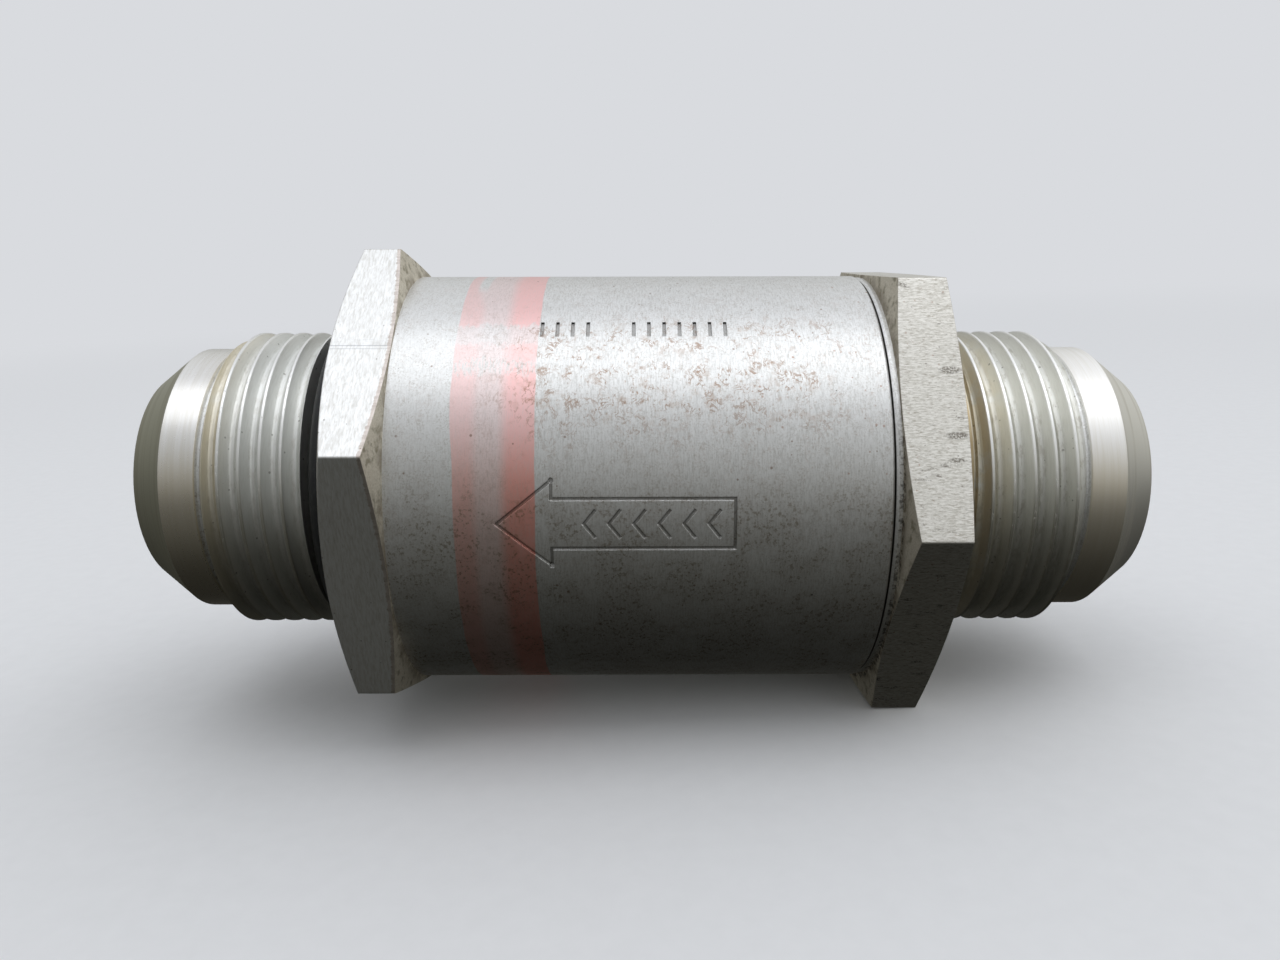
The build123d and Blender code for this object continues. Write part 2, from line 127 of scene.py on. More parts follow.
class Nodes:
    """A node tree, with short calls for the plain nodes used here."""

    def __init__(self, tree):
        self.tree = tree
        self.tree.nodes.clear()

    def put(self, socket, value):
        """Sets a socket to a constant, or links it to another socket."""
        if isinstance(value, bpy.types.NodeSocket):
            self.tree.links.new(value, socket)
        else:
            socket.default_value = value

    def calc(self, operation, a, b=0.0, c=0.0):
        node = self.tree.nodes.new("ShaderNodeMath")
        node.operation = operation
        for socket, value in zip(node.inputs, (a, b, c)):
            self.put(socket, value)
        return node.outputs[0]

    def split(self, vector):
        node = self.tree.nodes.new("ShaderNodeSeparateXYZ")
        self.put(node.inputs[0], vector)
        return node.outputs

    def step(self, value, low, high):
        """0 below low, 1 above high, smooth between. It falls if low is above high."""
        node = self.tree.nodes.new("ShaderNodeMapRange")
        node.interpolation_type = "SMOOTHSTEP"
        rising = low < high
        self.put(node.inputs["Value"], value)
        node.inputs["From Min"].default_value = low if rising else high
        node.inputs["From Max"].default_value = high if rising else low
        node.inputs["To Min"].default_value = 0 if rising else 1
        node.inputs["To Max"].default_value = 1 if rising else 0
        return node.outputs["Result"]

    def within(self, value, low, high, soft=0.05):
        """1 between low and high, with soft edges."""
        return self.both(self.step(value, low - soft, low + soft), self.step(value, high + soft, high - soft))

    def near(self, value, middle, none, full):
        """1 where value is closer to middle than full, 0 where it is further away than none."""
        return self.step(self.calc("ABSOLUTE", self.calc("SUBTRACT", value, middle)), none, full)

    def opposite(self, mask):
        return self.calc("SUBTRACT", 1, mask)

    def both(self, *values):
        """The product: where every mask is 1."""
        result = values[0]
        for value in values[1:]:
            result = self.calc("MULTIPLY", result, value)
        return result

    def either(self, *values):
        """The largest: where any mask is 1."""
        result = values[0]
        for value in values[1:]:
            result = self.calc("MAXIMUM", result, value)
        return result

    def total(self, *values):
        result = values[0]
        for value in values[1:]:
            result = self.calc("ADD", result, value)
        return result


class Graph(Nodes):
    """A material's node tree. Its point is in millimetres, in the row frame."""

    def __init__(self, name):
        self.material = bpy.data.materials.new(name)
        self.material.use_nodes = True
        super().__init__(self.material.node_tree)
        self.output = self.tree.nodes.new("ShaderNodeOutputMaterial")
        self.shader = self.tree.nodes.new("ShaderNodeBsdfPrincipled")
        self.tree.links.new(self.shader.outputs[0], self.output.inputs["Surface"])
        place = self.tree.nodes.new("ShaderNodeTexCoord")
        scaled = self.tree.nodes.new("ShaderNodeVectorMath")
        scaled.operation = "SCALE"
        scaled.inputs["Scale"].default_value = 1 / MM
        self.tree.links.new(place.outputs["Object"], scaled.inputs[0])
        self.point = scaled.outputs[0]
        self.x, self.y, self.z = self.split(self.point)
        squares = self.total(self.both(self.y, self.y), self.both(self.z, self.z))
        self.radius = self.calc("SQRT", squares)
        # Degrees round the axis, up from the -Y side.
        radians = self.calc("ARCTAN2", self.z, self.both(self.y, -1))
        self.turn = self.both(radians, 180 / math.pi)
        # From -1 underneath to 1 on top, the same in front and behind.
        self.height = self.calc("DIVIDE", self.z, self.radius)

    def stretched(self, x, y, z):
        """The point with each coordinate multiplied, for grain that runs one way."""
        node = self.tree.nodes.new("ShaderNodeVectorMath")
        node.operation = "MULTIPLY"
        self.put(node.inputs[0], self.point)
        node.inputs[1].default_value = (x, y, z)
        return node.outputs[0]

    def noise(self, vector, scale, detail=2.0, rough=0.5, distortion=0.0):
        node = self.tree.nodes.new("ShaderNodeTexNoise")
        self.put(node.inputs["Vector"], vector)
        node.inputs["Scale"].default_value = scale
        node.inputs["Detail"].default_value = detail
        node.inputs["Roughness"].default_value = rough
        node.inputs["Distortion"].default_value = distortion
        return node.outputs[0]

    def dots(self, scale, share, size):
        """1 in scattered dots: share is how many cells have one, size its radius where 1 is a cell."""
        node = self.tree.nodes.new("ShaderNodeTexVoronoi")
        self.put(node.inputs["Vector"], self.point)
        node.inputs["Scale"].default_value = scale
        chance, bigness, _ = self.split(node.outputs["Color"])
        chosen = self.step(chance, 1 - share, 1.01 - share)
        limit = self.calc("MULTIPLY_ADD", bigness, 0.7 * size, 0.3 * size)
        return self.both(chosen, self.step(self.calc("DIVIDE", node.outputs["Distance"], limit), 1.0, 0.6))

    def lines(self, value, width):
        """1 along the lines where a noise crosses its middle: thin irregular loops."""
        return self.near(value, 0.5, width, 0.5 * width)

    def mix(self, factor, a, b):
        """A colour between a and b."""
        node = self.tree.nodes.new("ShaderNodeMix")
        node.data_type = "RGBA"
        self.put(node.inputs[0], factor)
        self.put(node.inputs[6], a)
        self.put(node.inputs[7], b)
        return node.outputs[2]

    def blend(self, factor, a, b):
        """A number between a and b."""
        node = self.tree.nodes.new("ShaderNodeMix")
        node.data_type = "FLOAT"
        self.put(node.inputs[0], factor)
        self.put(node.inputs[2], a)
        self.put(node.inputs[3], b)
        return node.outputs[0]

    def facing_x(self):
        """How far the surface faces along the flow axis, from 0 to 1."""
        geometry = self.tree.nodes.new("ShaderNodeNewGeometry")
        return self.calc("ABSOLUTE", self.split(geometry.outputs["Normal"])[0])

    def bump(self, height, micrometres, normal=None):
        """A normal tilted by a relief this deep where height goes from 0 to 1."""
        node = self.tree.nodes.new("ShaderNodeBump")
        node.inputs["Distance"].default_value = micrometres * 1e-6
        self.put(node.inputs["Height"], height)
        if normal is not None:
            self.put(node.inputs["Normal"], normal)
        return node.outputs[0]

    def sideways(self, normal=None):
        """The direction round the axis, down at the front, and how far a normal looks that way."""
        if normal is None:
            normal = self.tree.nodes.new("ShaderNodeNewGeometry").outputs["Normal"]
        across = self.tree.nodes.new("ShaderNodeCombineXYZ")
        self.put(across.inputs["Y"], self.calc("DIVIDE", self.both(self.z, -1), self.radius))
        self.put(across.inputs["Z"], self.calc("DIVIDE", self.y, self.radius))
        turning = self.tree.nodes.new("ShaderNodeVectorTransform")
        turning.vector_type = "NORMAL"
        turning.convert_from = "OBJECT"
        turning.convert_to = "WORLD"
        self.put(turning.inputs[0], across.outputs[0])
        return turning.outputs[0], self.vector("DOT_PRODUCT", normal, turning.outputs[0])

    def round_normal(self, normal, share):
        """A normal without the sideways part that the facets of a turned surface give it."""
        around, amount = self.sideways()
        part = self.vector("SCALE", around, scale=self.both(amount, share))
        return self.vector("NORMALIZE", self.vector("SUBTRACT", normal, part))

    def vector(self, operation, a, b=None, scale=None):
        node = self.tree.nodes.new("ShaderNodeVectorMath")
        node.operation = operation
        self.put(node.inputs[0], a)
        if b is not None:
            self.put(node.inputs[1], b)
        if scale is not None:
            self.put(node.inputs["Scale"], scale)
        return node.outputs["Value" if operation == "DOT_PRODUCT" else "Vector"]

    def soft_edges(self, millimetres):
        """A normal that rounds off every edge with this radius."""
        node = self.tree.nodes.new("ShaderNodeBevel")
        node.samples = 4
        self.put(node.inputs["Radius"], self.both(millimetres, MM))
        return node.outputs[0]

    def finish(self, color, roughness, metallic=1.0, normal=None, **fixed):
        """Wires the shader up and returns the material. fixed names sockets set to a constant."""
        self.put(self.shader.inputs["Base Color"], color)
        self.put(self.shader.inputs["Roughness"], roughness)
        self.put(self.shader.inputs["Metallic"], metallic)
        if normal is not None:
            self.put(self.shader.inputs["Normal"], normal)
        for name, value in fixed.items():
            self.shader.inputs[name.replace("_", " ")].default_value = value
        return self.material


class Coat:
    """The colour and roughness of a surface while marks are laid over it one after another."""

    def __init__(self, g, color, rough):
        self.g = g
        self.color = color
        self.rough = rough

    def paint(self, color, *where):
        """Lays a colour over the places where every mask is 1. A number among the masks is its strength."""
        self.color = self.g.mix(self.g.both(*where), self.color, color)

    def polish(self, rough, *where):
        """Gives the places where every mask is 1 another roughness."""
        self.rough = self.g.blend(self.g.both(*where), self.rough, rough)

    def cover(self, other, where):
        """Lays another coat over a zone."""
        self.paint(other.color, where)
        self.polish(other.rough, where)


class Zones:
    """Masks for the kinds of surface of one piece. outward is the sign of X towards the piece's nose."""

    def __init__(self, g, outward):
        self.out = g.both(g.x, outward)  # how far out from the middle, towards the nose
        facing = g.facing_x()
        outside = g.step(g.radius, OUTSIDE_R - 0.1, OUTSIDE_R + 0.1)
        hexagon = g.within(self.out, HEX_IN - 0.4, HEX_OUT + 0.06)
        above_barrel = g.step(g.radius, BARREL_R + 0.06, BARREL_R + 0.12)
        inner_half = g.step(self.out, HEX_MIDDLE + 0.2, HEX_MIDDLE - 0.2)
        outer_half = g.step(self.out, HEX_MIDDLE - 0.2, HEX_MIDDLE + 0.2)

        self.marked = g.both(
            g.within(g.x, -MARKED_X, MARKED_X),
            g.step(g.radius, ENGRAVED_R - 0.1, ENGRAVED_R + 0.1),
        )
        self.flats = g.both(hexagon, above_barrel, g.step(facing, 0.45, 0.2))
        self.cones = g.both(hexagon, g.step(facing, 0.3, 0.6), g.step(g.radius, HUB_R - 0.5, HUB_R + 0.5))
        self.inner_cone = g.both(self.cones, inner_half)
        self.outer_cone = g.both(self.cones, outer_half)
        square = g.step(facing, 0.86, 0.92)
        self.face = g.both(square, g.step(g.radius, BORE_R + 0.6, BORE_R + 0.9), outer_half)
        self.thread = g.both(g.within(self.out, THREAD_IN - 0.3, THREAD_OUT), outside)
        self.crest = g.both(self.thread, g.step(g.radius, THREAD_R - 0.16, THREAD_R - 0.05))
        self.root = g.both(self.thread, g.step(g.radius, THREAD_R - 0.8, THREAD_R - 1.15))
        self.relief = g.both(
            g.within(self.out, HEX_OUT, THREAD_IN - 0.1),
            g.step(g.radius, HUB_R + 0.2, HUB_R - 0.6),
        )
        self.land = g.both(
            g.within(self.out, THREAD_OUT + 0.25, LAND_OUT),
            g.step(g.radius, OUTSIDE_R - 0.2, OUTSIDE_R + 0.1),
        )
        self.nose = g.both(
            g.step(self.out, LAND_OUT - 0.02, LAND_OUT + 0.06),
            g.step(g.radius, BORE_R + 0.5, BORE_R + 0.8),
        )
        self.bore = g.step(g.radius, BORE_R + 0.35, BORE_R + 0.1)


class Grain:
    """Noises that several surfaces share. Turning marks run round the axis, milling marks along or aslant."""

    def __init__(self, g, barrel):
        self.rings = g.noise(g.stretched(1, 0.03, 0.03), 3.2, 4.0, 0.6)
        self.fine_rings = g.noise(g.stretched(1, 0.05, 0.05), 11.0, 2.0, 0.6)
        self.dashes = g.noise(g.stretched(1, 0.16, 0.16), 7.0, 4.0, 0.7)
        self.facing_rings = g.noise(g.radius, 2.2, 4.0, 0.7)
        if barrel:
            self.milled = g.noise(g.stretched(1, 0.25, 0.17), 5.0, 4.0, 0.65, 0.4)
        else:
            self.milled = g.noise(g.stretched(0.22, 1, 1), 7.5, 4.0, 0.7)
        self.cloud = g.noise(g.point, 0.11, 4.0, 0.55)
        self.blotch = g.noise(g.point, 0.5, 3.0, 0.6)
        self.dust = g.noise(g.point, 5.5, 3.0, 0.7)


def aluminium(name, outward, barrel):
    """Bare aluminium as it is on the whole outside, for the piece with the barrel or for the cap.

    outward is the sign of X towards the piece's nose.
    """
    g = Graph(name)
    zone = Zones(g, outward)
    grain = Grain(g, barrel)
    soft_normal = g.soft_edges(g.blend(zone.marked, g.blend(zone.flats, 0.08, 0.17), 0.13))
    coat = turned_skin(g, grain, barrel)
    groove = 0.0
    if barrel:
        red_band(g, coat, grain)
        stains(g, coat, grain)
        groove = engraving(g, coat, zone, soft_normal)
    seam = g.both(g.near(g.x, SEAM_X, 0.16, 0.08), g.step(g.radius, 21, 21.2))
    coat.paint(srgb(60, 56, 48), seam, 0.85)
    coat.cover(body_flats(g, zone, grain) if barrel else cap_flats(g, grain), zone.flats)
    chamfers(g, coat, zone, grain, barrel)
    coat.cover(hexagon_faces(g, grain), zone.face)
    threads(g, coat, zone, grain, barrel)
    land_and_nose(g, coat, zone, grain, barrel)
    turned = g.both(g.opposite(zone.flats), g.opposite(groove))
    normal = g.bump(surface_height(g, zone, grain), 4.5, g.round_normal(soft_normal, turned))
    return g.finish(coat.color, coat.rough, 1.0, normal)


def turned_skin(g, grain, barrel):
    """The turned skin: satin, with short scratches round the axis and a fine mottled film."""
    clean = g.mix(grain.cloud, srgb(228, 229, 228), srgb(240, 241, 241))
    coat = Coat(g, clean, g.blend(grain.dashes, 0.31, 0.47))
    coat.paint(srgb(170, 168, 162), g.step(grain.dust, 0.35, 0.65), 0.14)
    scuffs = g.blend(g.step(g.x, -19, -12), 0.22, 0.40) if barrel else 0.40
    coat.paint(srgb(158, 156, 149), g.step(grain.dashes, 0.40, 0.72), scuffs)
    film = g.step(g.noise(g.point, 1.1, 4.0, 0.65), 0.40, 0.60)
    coat.paint(srgb(150, 138, 118), g.step(grain.dust, 0.48, 0.64), film, 0.26)
    return coat


def red_band(g, coat, grain):
    """The faded band of red ink round the barrel: strong at its right edge, weaker at its left. Its upper
    side is paler and two strips are rubbed thin where the highlight falls, partly as painted highlight.
    """
    x = g.calc("ADD", g.x, g.both(g.calc("SUBTRACT", grain.cloud, 0.5), 0.5))
    lower_shift = g.both(g.step(g.height, 0.47, 0.24), 0.3)
    band = g.within(g.calc("SUBTRACT", x, lower_shift), BAND_LEFT, BAND_RIGHT, 0.06)
    band = g.both(band, g.step(x, BAND_RIGHT + 0.1, BAND_RIGHT))
    strong = g.step(x, -13.9, -12.4)
    top_shift = g.both(g.step(g.height, 0.85, 0.99), 1.3)
    weak = g.step(g.calc("ADD", x, top_shift), -15.3, -16.5)
    gap = g.both(g.within(x, -17.0, -16.0, 0.2), g.step(g.height, 0.93, 0.97))

    # Two strips round the front where the ink is rubbed thin, placed where the highlight falls: partly worn
    # ink, partly a painted highlight that washes the red out.
    ragged = g.calc("ADD", g.turn, g.both(g.noise(g.stretched(1, 0.5, 0.5), 1.6, 4.0, 0.7), 8.0))
    rubbed = g.either(
        g.both(g.within(ragged, 51, 58, 1.0), 0.7),
        g.both(g.within(ragged, 42.5, 47, 1.0), g.step(grain.dashes, 0.35, 0.6), 0.9),
        g.both(g.within(ragged, 46, 52, 0.5), 0.25),
    )
    ink = g.total(0.36, g.both(strong, 0.64), g.both(weak, 0.32))
    ink = g.both(ink, band, g.opposite(gap), g.opposite(rubbed))
    # Painted highlight: the ink is paler on the upper side, where the light falls, and redder low down.
    ink_paler_where_lit = g.mix(g.step(g.height, 0.14, 0.5), (0.90, 0.44, 0.38, 1.0), (0.92, 0.60, 0.585, 1.0))
    flecks = g.blend(g.step(grain.dashes, 0.42, 0.7), 1.0, 0.82)
    coat.paint(ink_paler_where_lit, ink, flecks)
    coat.rough = g.calc("ADD", coat.rough, g.both(band, 0.03))


def stains(g, coat, grain):
    """Tan drying marks, thickest on the upper front of the barrel, grime low down, brown and black specks."""
    upper = g.both(g.step(g.turn, 14, 34), g.step(g.turn, 60, 50), g.step(g.x, -18, -7), g.step(g.x, 26, 14))
    behind = g.both(g.within(g.turn, 120, 156, 14), g.within(g.x, -8, 16, 6), 0.6)
    stained = g.calc("MULTIPLY_ADD", g.either(upper, behind), 0.85, 0.15)
    cluster = g.step(g.noise(g.point, 0.34, 3.0, 0.7), 0.38, 0.55)
    crumbs = g.step(g.noise(g.stretched(1, 0.6, 0.6), 2.6, 4.0, 0.7), 0.56, 0.72)
    patches = g.step(g.noise(g.point, 0.9, 4.0, 0.65), 0.52, 0.66)
    marks = g.both(g.either(crumbs, g.both(patches, 0.4)), cluster, stained)
    coat.paint(srgb(158, 118, 78), marks, 0.66)
    coat.polish(0.52, marks, 0.45)

    loops = g.lines(g.noise(g.stretched(1, 0.8, 0.8), 1.1, 4.0, 0.6, 0.8), 0.035)
    broken = g.step(g.noise(g.point, 0.8, 2.0, 0.5), 0.45, 0.56)
    coat.paint(srgb(140, 98, 60), loops, cluster, stained, broken, 0.6)

    grime = g.both(g.step(g.height, 0.34, 0.03), g.step(g.noise(g.point, 0.28, 2.0, 0.6), 0.40, 0.58))
    peppered = g.either(g.step(g.noise(g.point, 2.6, 3.0, 0.7), 0.50, 0.64), g.both(grain.blotch, 0.35))
    coat.paint(srgb(120, 100, 66), grime, peppered, 0.55)

    rusty = g.both(g.step(g.noise(g.point, 0.3, 2.0), 0.45, 0.6), g.step(g.height, 0.03, 0.31))
    coat.paint(srgb(158, 108, 76), g.dots(1.5, 0.5, 0.24), rusty, g.step(g.x, 2, 14), 0.6)
    coat.paint(srgb(122, 86, 58), g.dots(1.0, 0.4, 0.17), g.step(grain.blotch, 0.4, 0.5), 0.6)
    coat.paint(srgb(58, 50, 44), g.dots(0.6, 0.3, 0.075), 0.75)


def engraving(g, coat, zone, soft_normal):
    """Painted shade in the cut lines of arrow and bars: darker on their floors, blackest on the half that
    faces down, under their upper edge. Returns their mask.
    """
    groove = g.both(g.step(g.radius, BARREL_R - 0.02, BARREL_R - 0.04), zone.marked)
    # Painted shade: the floors of the cut lines darkened.
    coat.paint(srgb(84, 76, 66), groove, g.step(g.radius, BARREL_R - 0.09, BARREL_R - 0.13), 0.25)
    _, down_facing_shade = g.sideways(soft_normal)
    # Painted shade: the half of each cut line that faces down, under its upper edge, nearly black.
    coat.paint(srgb(42, 35, 29), groove, g.step(down_facing_shade, -0.1, 0.15), 0.92)
    coat.polish(0.38, groove)
    return groove


def flat_coat(g, grain, low, high, light, dark):
    """Milled metal that goes from light to dark where its grain is between low and high."""
    return Coat(g, g.mix(g.step(grain.milled, low, high), light, dark), g.blend(grain.milled, 0.32, 0.50))


def flat_specks(g, flat):
    """The dark specks that both kinds of flat have, laid over everything else."""
    flat.paint(srgb(92, 74, 70), g.dots(1.3, 0.35, 0.16), 0.45)
    return flat


def body_flats(g, zone, grain):
    """The body's wrench flats: bright and brushed, with a scribed line and a ragged tan edge."""
    flat = flat_coat(g, grain, 0.34, 0.72, srgb(237, 238, 238), srgb(212, 211, 207))
    flat.paint(srgb(150, 152, 160), scribed_line(g))
    burr(g, flat, zone)
    rubbed = g.step(g.noise(g.stretched(1, 0.3, 0.2), 1.2, 3.0, 0.6), 0.55, 0.72)
    flat.paint(srgb(150, 140, 120), rubbed, 0.12)
    return flat_specks(g, flat)


def cap_flats(g, grain):
    """The cap's wrench flats: milled along X and duller, with smears of dirt and rusty specks."""
    flat = flat_coat(g, grain, 0.36, 0.66, srgb(236, 234, 228), srgb(200, 197, 188))
    marks = g.step(g.noise(g.stretched(0.3, 1.3, 1.3), 6.0, 3.0, 0.7), 0.54, 0.66)
    flat.paint(srgb(138, 126, 108), marks, 0.5)
    smudge = g.step(g.noise(g.stretched(0.4, 1, 1), 0.75, 4.0, 0.7), 0.58, 0.68)
    smudge = g.either(smudge, *(smear(g, *place) for place in CAP_SMEARS))
    flat.paint(srgb(96, 88, 78), smudge, g.step(grain.dust, 0.38, 0.56), 0.75)
    rusty = g.step(g.noise(g.point, 0.4), 0.45, 0.6)
    flat.paint(srgb(150, 98, 66), g.dots(1.8, 0.6, 0.26), rusty, 0.5)
    return flat_specks(g, flat)


def up_the_flat(g, degrees):
    """Millimetres up a flat that faces the front at this many degrees above level, from its middle."""
    tilt = math.radians(degrees)
    return g.total(g.both(g.y, math.sin(tilt)), g.both(g.z, math.cos(tilt)))


def smear(g, x, middle, long, high):
    """A soft oval of dirt on the cap's upper front flat, its middle at x and this far up the flat."""
    aside = g.calc("DIVIDE", g.calc("SUBTRACT", g.x, x), long)
    up = g.calc("DIVIDE", g.calc("SUBTRACT", up_the_flat(g, CAP_FLAT), middle), high)
    far = g.total(g.both(aside, aside), g.both(up, up))
    return g.both(g.step(far, 1.3, 0.3), g.within(g.turn, CAP_FLAT - 29, CAP_FLAT + 29, 1))


def scribed_line(g):
    """Two thin lines along X with a rubbed streak above them, half way up the body's upper front flat."""
    up = up_the_flat(g, BODY_FLAT)
    sharp = g.within(up, -0.19, -0.05, 0.04)
    faint = g.both(g.within(up, -0.58, -0.44, 0.05), 0.6)
    streaks = g.step(g.noise(g.stretched(0.1, 1, 1), 9.0, 2.0, 0.5), 0.45, 0.6)
    rubbed = g.both(g.within(up, 0.1, 0.75, 0.1), streaks, 0.3)
    return g.both(g.within(g.turn, BODY_FLAT - 6, BODY_FLAT + 6, 1), g.either(sharp, faint, rubbed), 0.5)


def burr(g, flat, zone):
    """The ragged tan edge that the barrel-side chamfer leaves along each wrench flat of the body."""
    edge = g.calc("MULTIPLY_ADD", g.calc("SUBTRACT", g.radius, BARREL_R), BURR_SLOPE, HEX_IN)
    inward = g.calc("SUBTRACT", zone.out, edge)
    teeth = g.noise(g.stretched(0.5, 2, 2), 1.4, 3.0, 0.6)
    strip = g.step(g.calc("SUBTRACT", inward, g.both(teeth, 0.5)), 0.16, 0.06)
    tan = g.mix(g.step(teeth, 0.42, 0.62), srgb(196, 180, 168), srgb(166, 148, 136))
    flat.paint(tan, strip, 0.6)


def chamfers(g, coat, zone, grain, barrel):
    """Olive film on the chamfers. Dirt is packed in the corner with the barrel, blackest on the cap's."""
    film = g.mix(g.step(grain.dust, 0.35, 0.7), srgb(222, 216, 202), srgb(202, 194, 176))
    thick = g.step(g.noise(g.stretched(3, 1, 1), 0.9, 3.0, 0.6), 0.5, 0.7)
    film = g.mix(thick, film, srgb(158, 150, 128))
    coat.paint(film, zone.inner_cone, 0.9)
    coat.paint(srgb(214, 212, 206), zone.outer_cone)
    packed = g.both(g.step(g.radius, BARREL_R + 1.4, BARREL_R), g.step(grain.blotch, 0.34, 0.58))
    coat.paint(srgb(116, 100, 78), zone.inner_cone, packed, 0.55)
    if not barrel:
        corner = g.both(g.near(g.radius, BARREL_R + 0.05, 0.5, 0.1), g.within(zone.out, 23.9, 26.0))
        clots = g.step(g.noise(g.point, 2.0, 4.0, 0.7), 0.45, 0.60)
        low_down = g.step(g.height, 0.59, 0.24)
        coat.paint(srgb(60, 56, 44), corner, clots, low_down, g.opposite(zone.flats), 0.8)
    coat.polish(0.6, zone.cones)


def hexagon_faces(g, grain):
    """Faces across the axis: rings from facing them off, a little film and dark specks."""
    color = g.mix(g.step(grain.facing_rings, 0.35, 0.65), srgb(232, 230, 225), srgb(176, 172, 160))
    face = Coat(g, color, g.blend(grain.facing_rings, 0.30, 0.52))
    face.paint(srgb(140, 128, 102), g.step(g.noise(g.point, 0.7, 5.0, 0.7), 0.48, 0.66), 0.4)
    face.paint(srgb(90, 76, 62), g.dots(1.1, 0.4, 0.2), 0.6)
    return face


def threads(g, coat, zone, grain, barrel):
    """Thread and relief: clean flanks, old yellow oil at one end, roots darker in patches, the lower half
    darkened as painted shade, crests painted bright on top as a painted highlight and darker below as painted
    shade.
    """
    if barrel:
        oil = g.both(g.step(zone.out, 41.0, 44.6), g.step(grain.cloud, 0.30, 0.52))
        relief_color = srgb(214, 212, 206)
    else:
        oil = g.both(g.step(zone.out, 38.0, 33.5), g.step(grain.blotch, 0.25, 0.5))
        relief_color = g.mix(grain.blotch, srgb(206, 194, 164), srgb(170, 146, 108))
    coat.paint(srgb(230, 231, 228) if barrel else srgb(228, 228, 222), zone.thread)
    coat.paint(srgb(222, 210, 180), zone.thread, oil, 0.6)
    grime = g.step(g.noise(g.stretched(1, 0.3, 0.3), 2.2, 4.0, 0.7), 0.48, 0.66)
    coat.paint(srgb(138, 128, 104), zone.root, grime, 0.2 if barrel else 0.33)
    coat.paint(srgb(176, 174, 162), zone.thread, g.step(grain.fine_rings, 0.45, 0.7), 0.12)
    # Painted shade: the lower half of the thread darkened.
    coat.paint(srgb(150, 148, 138), zone.thread, g.step(g.height, 0.14, -0.37), 0.4)
    coat.paint(srgb(98, 92, 80), zone.thread, g.dots(1.2, 0.5, 0.2), 0.5)
    # Painted highlight and shade: crests near white on top, greyer below.
    coat.paint(g.mix(g.step(g.height, 0.45, -0.1), srgb(243, 243, 241), srgb(196, 194, 184)), zone.crest)
    coat.polish(g.blend(grain.dashes, 0.36, 0.52), zone.thread)
    coat.polish(0.31, zone.crest)
    coat.paint(relief_color, zone.relief)
    coat.polish(0.38, zone.relief)


def land_and_nose(g, coat, zone, grain, barrel):
    """The land is rubbed smooth, its lower half tinted tan as a painted reflection. Nose cone and face are
    dull olive, with wear rings from the flared tube.
    """
    land = g.mix(g.step(grain.rings, 0.35, 0.65), srgb(240, 239, 237), srgb(232, 230, 225))
    # Painted reflection: the lower half of the land tinted tan.
    land = g.mix(g.both(g.step(g.height, 0.5, 0.1), 0.6), land, srgb(232, 220, 194))
    coat.paint(land, zone.land)
    worn = g.step(g.noise(g.stretched(1, 0.02, 0.02), 1.6, 2.0, 0.5), 0.45, 0.6)
    if barrel:
        coat.polish(g.blend(grain.dashes, 0.24, 0.33), zone.land)
        coat.paint(g.mix(worn, srgb(184, 183, 165), srgb(174, 172, 154)), zone.nose)
    else:
        coat.polish(g.blend(grain.dashes, 0.31, 0.41), zone.land)
        coat.paint(g.mix(worn, srgb(214, 212, 204), srgb(203, 200, 190)), zone.nose)
    coat.polish(g.blend(worn, 0.42, 0.50), zone.nose)
    coat.paint(g.mix(grain.rings, srgb(176, 172, 162), srgb(150, 144, 130)), zone.bore)
    coat.polish(0.42, zone.bore)


def surface_height(g, zone, grain):
    """The fine relief of the surface: turning, facing or milling marks, and nicks in the thread's crests."""
    fine = g.both(g.calc("ADD", grain.fine_rings, grain.dust), 0.5)
    height = g.total(g.blend(zone.land, grain.rings, 0.5), fine)
    height = g.blend(zone.face, height, g.both(grain.facing_rings, 3.0))
    height = g.blend(zone.flats, height, g.both(grain.milled, 2.2))
    nicks = g.both(zone.crest, g.step(g.noise(g.point, 2.6, 3.0, 0.7), 0.58, 0.68))
    return g.calc("SUBTRACT", height, g.both(nicks, 6.0))


def rubber(name):
    """Black nitrile: nearly smooth, with a fine grain and dust in patches."""
    g = Graph(name)
    dust = g.step(g.noise(g.point, 2.4, 4.0, 0.7), 0.52, 0.72)
    color = g.mix(g.both(dust, 0.3), srgb(22, 24, 26), srgb(92, 94, 92))
    grain = g.noise(g.point, 14.0, 2.0, 0.6)
    return g.finish(color, g.blend(dust, 0.34, 0.62), 0.0, g.bump(grain, 5.0), Specular_IOR_Level=0.5)


def seal_plastic(name):
    """White sealing plastic with fine turning marks and oil-stained patches."""
    g = Graph(name)
    stain = g.step(g.noise(g.point, 0.6, 4.0, 0.6), 0.4, 0.7)
    rings = g.noise(g.stretched(1, 0.05, 0.05), 9.0, 2.0, 0.5)
    color = g.mix(stain, srgb(232, 231, 224), srgb(206, 198, 176))
    return g.finish(color, g.blend(stain, 0.38, 0.52), 0.0, g.bump(rings, 4.0))


def steel(name, light, dark, rough_low, rough_high, ring_scale=4.0):
    """Turned or ground steel: rings round the axis, faint oil patches and small scratches."""
    g = Graph(name)
    rings = g.noise(g.stretched(1, 0.04, 0.04), ring_scale, 4.0, 0.6)
    across = g.noise(g.stretched(0.05, 0.6, 0.6), ring_scale, 3.0, 0.6)
    face = g.step(g.facing_x(), 0.6, 0.8)
    grain = g.blend(face, rings, across)
    oil = g.step(g.noise(g.point, 0.35, 4.0, 0.6), 0.45, 0.68)
    color = g.mix(grain, light, dark)
    color = g.mix(g.both(oil, 0.35), color, srgb(122, 106, 78))
    scratch = g.step(g.noise(g.stretched(0.2, 2.4, 2.4), 3.0, 2.0, 0.6), 0.62, 0.7)
    rough = g.blend(grain, rough_low, rough_high)
    rough = g.calc("SUBTRACT", rough, g.both(oil, 0.08))
    height = g.calc("SUBTRACT", grain, g.both(scratch, 0.6))
    return g.finish(color, rough, 1.0, g.bump(height, 3.0, g.soft_edges(0.06)))


